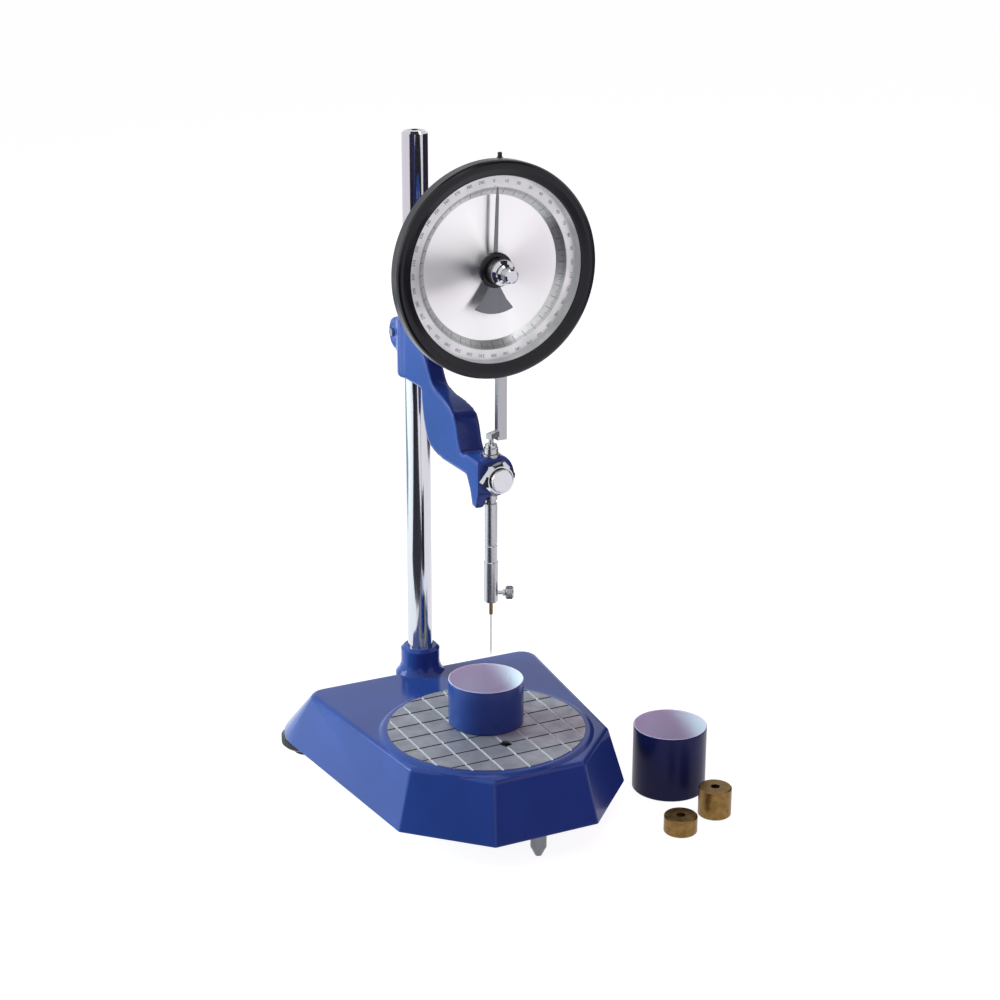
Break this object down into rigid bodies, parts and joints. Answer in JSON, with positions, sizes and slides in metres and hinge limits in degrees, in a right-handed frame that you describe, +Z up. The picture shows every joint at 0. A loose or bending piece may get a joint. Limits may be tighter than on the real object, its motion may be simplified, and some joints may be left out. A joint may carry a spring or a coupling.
{
  "type": "laboratory penetrometer",
  "caption": "Bench needle penetrometer: blue cast base with round sample table, chrome pillar, clamped arm with large dial, rack, released plunger and needle, sample cups and ring weights.",
  "frame": {"origin": "tip of the fixed front foot, on the bench", "axes": "+X to the instrument's right seen from its front, +Y to the back, +Z up along the pillar"},
  "size_m": [0.2842, 0.3012, 0.503],
  "materials": {
    "blue_enamel": "gloss",
    "machined_aluminium": "satin",
    "mirror_aluminium": "polished",
    "chrome": "polished",
    "steel": "satin",
    "black_plastic": "gloss",
    "black_rubber": "matte",
    "black_enamel": "gloss",
    "brass": "satin",
    "enamelled_tin": "gloss"
  },
  "bodies": {
    "stand": {"base": "blue_enamel", "table": "machined_aluminium", "table_screws": "steel", "front_foot": "steel"},
    "pillar": {"pillar": "chrome", "pillar_washer": "steel", "pillar_nut": "steel"},
    "foot_left": {"foot_pad_left": "black_rubber"},
    "foot_screw_left": {"foot_knob_left": "black_plastic", "foot_stud_left": "steel"},
    "foot_right": {"foot_pad_right": "black_rubber"},
    "foot_screw_right": {"foot_knob_right": "black_plastic", "foot_stud_right": "steel"},
    "head": {"arm": "blue_enamel", "dial_case": "black_enamel", "bezel": "black_enamel", "dial_ring": "machined_aluminium", "dial_disc": "mirror_aluminium", "case_screws": "steel", "arbor_bush": "brass", "bush_top": "steel", "bush_bottom": "steel", "button_nut": "chrome", "button_spring": "steel"},
    "clamp": {"clamp_stud": "steel", "clamp_knob": "black_plastic"},
    "arbor": {"arbor": "steel", "pinion": "brass"},
    "pointer": {"pointer": "black_enamel", "pointer_hub": "black_enamel", "pointer_knob": "chrome"},
    "rack": {"rack": "steel", "rack_foot": "steel", "rack_knob": "black_plastic"},
    "plunger": {"plunger": "chrome", "plunger_collar": "chrome", "chuck": "chrome", "ferrule": "brass", "needle": "steel"},
    "chuck_screw": {"chuck_screw": "chrome"},
    "button": {"button": "chrome"},
    "cup": {"cup": "enamelled_tin"},
    "deep_cup": {"deep_cup": "enamelled_tin"},
    "weight_large": {"weight_large": "brass"},
    "weight_small": {"weight_small": "brass"}
  },
  "joints": [
    {"name": "head_swivel", "type": "hinge", "parent": "stand", "child": "pillar", "pos_m": [0, 0.208, 0.3], "axis": [0, 0, 1], "range_deg": [-90, 90]},
    {"name": "head_height", "type": "slide", "parent": "pillar", "child": "head", "axis": [0, 0, 1], "range_m": [-0.045, 0.1]},
    {"name": "clamp_turn", "type": "hinge", "parent": "head", "child": "clamp", "pos_m": [0.014, 0.223, 0.347], "axis": [1, 0, 0], "range_deg": [-200, 20]},
    {"name": "plunger_slide", "type": "slide", "parent": "head", "child": "plunger", "axis": [0, 0, 1], "range_m": [0, 0.04]},
    {"name": "rack_slide", "type": "slide", "parent": "head", "child": "rack", "axis": [0, 0, 1], "range_m": [-0.0002, 0.0402]},
    {"name": "arbor_turn", "type": "hinge", "parent": "head", "child": "arbor", "pos_m": [0, 0.079, 0.423], "axis": [0, -1, 0], "range_deg": [-2, 362]},
    {"name": "pointer_zero", "type": "hinge", "parent": "arbor", "child": "pointer", "pos_m": [0, 0.079, 0.423], "axis": [0, -1, 0], "continuous": true},
    {"name": "thumb_turn", "type": "hinge", "parent": "plunger", "child": "chuck_screw", "pos_m": [0, 0.079, 0.179], "axis": [0.9063, -0.4226, 0], "range_deg": [-180, 20]},
    {"name": "button_press", "type": "slide", "parent": "head", "child": "button", "axis": [0, 1, 0], "range_m": [0, 0.003], "stiffness_N_per_m": 900, "springref_m": -0.003},
    {"name": "level_left", "type": "slide", "parent": "stand", "child": "foot_left", "axis": [0, 0, -1], "range_m": [-0.003, 0.003]},
    {"name": "level_screw_left", "type": "hinge", "parent": "foot_left", "child": "foot_screw_left", "pos_m": [-0.087, 0.242, 0.012], "axis": [0, 0, 1], "range_deg": [-870, 870]},
    {"name": "level_right", "type": "slide", "parent": "stand", "child": "foot_right", "axis": [0, 0, -1], "range_m": [-0.003, 0.003]},
    {"name": "level_screw_right", "type": "hinge", "parent": "foot_right", "child": "foot_screw_right", "pos_m": [0.087, 0.242, 0.012], "axis": [0, 0, 1], "range_deg": [-870, 870]},
    {"name": "cup_out", "type": "slide", "parent": "stand", "child": "cup", "axis": [0, -1, 0], "range_m": [0, 0.12]},
    {"name": "deep_cup_lift", "type": "slide", "parent": "stand", "child": "deep_cup", "axis": [0, 0, 1], "range_m": [0, 0.15]},
    {"name": "weight_large_lift", "type": "slide", "parent": "stand", "child": "weight_large", "axis": [0, 0, 1], "range_m": [0, 0.1]},
    {"name": "weight_small_lift", "type": "slide", "parent": "stand", "child": "weight_small", "axis": [0, 0, 1], "range_m": [0, 0.1]}
  ],
  "couplings": [
    {"joint": "rack_slide", "follows": "plunger_slide", "ratio": 1},
    {"joint": "arbor_turn", "follows": "plunger_slide", "rad_per_m": 157.08},
    {"joint": "level_screw_left", "follows": "level_left", "rad_per_m": 5026.5},
    {"joint": "level_screw_right", "follows": "level_right", "rad_per_m": 5026.5}
  ]
}
